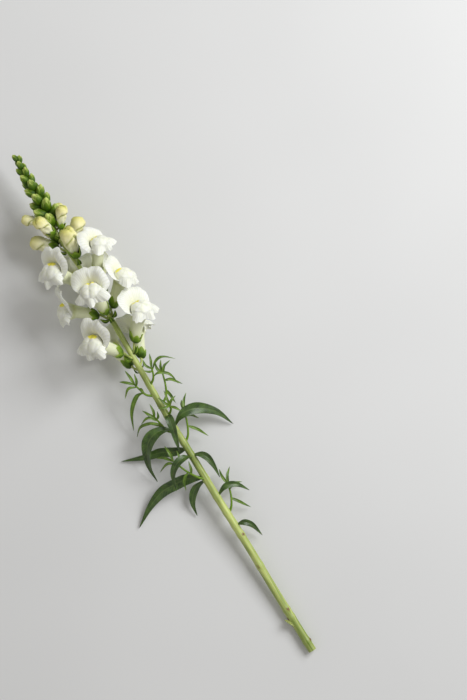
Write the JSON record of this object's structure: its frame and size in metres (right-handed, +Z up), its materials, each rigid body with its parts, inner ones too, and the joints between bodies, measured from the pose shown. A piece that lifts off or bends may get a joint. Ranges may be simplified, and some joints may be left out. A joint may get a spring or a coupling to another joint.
{
  "type": "cut snapdragon stem",
  "caption": "Cut flower stem lying flat: bare green stalk with leafy side shoots below, then ruffled white two-lipped florets, half-open cream buds and a tapering green bud tip.",
  "frame": {"origin": "middle of the whole stem in plan, on the surface that it lies on", "axes": "+X runs along the stem from the cut end to the bud tip, +Y to its left, +Z up from the surface"},
  "size_m": [0.5225, 0.1222, 0.0712],
  "materials": {
    "stem": "smooth fresh green, satin, paler towards the cut end",
    "shoot": "fresh green, satin",
    "leaf": "deep green, lightly glossy, with a pale midrib",
    "petal": "matt velvety white, yellow spot on the palate",
    "bud": "matt cream to yellow-green"
  },
  "bodies": {
    "root": {"stem": "stem", "side_shoot_1": "shoot", "side_shoot_2": "shoot", "side_shoot_3": "shoot", "side_shoot_4": "shoot", "side_shoot_5": "shoot", "side_shoot_6": "shoot", "side_shoot_7": "shoot", "side_shoot_8": "shoot", "leaf_1": "leaf", "leaf_2": "leaf", "leaf_3": "leaf", "leaf_4": "leaf", "leaf_5": "leaf", "leaf_6": "leaf", "leaf_7": "leaf", "leaf_8": "leaf", "leaf_9": "leaf", "leaf_10": "leaf", "floret_1": "petal", "floret_2": "petal", "floret_3": "petal", "floret_4": "petal", "floret_5": "petal", "floret_6": "petal", "floret_7": "petal", "floret_8": "petal", "floret_9": "petal", "floret_10": "petal", "floret_11": "petal", "opening_bud_1": "bud", "opening_bud_2": "bud", "opening_bud_3": "bud", "opening_bud_4": "bud", "opening_bud_5": "bud", "opening_bud_6": "bud", "opening_bud_7": "bud", "opening_bud_8": "bud", "opening_bud_9": "bud"}
  },
  "joints": []
}
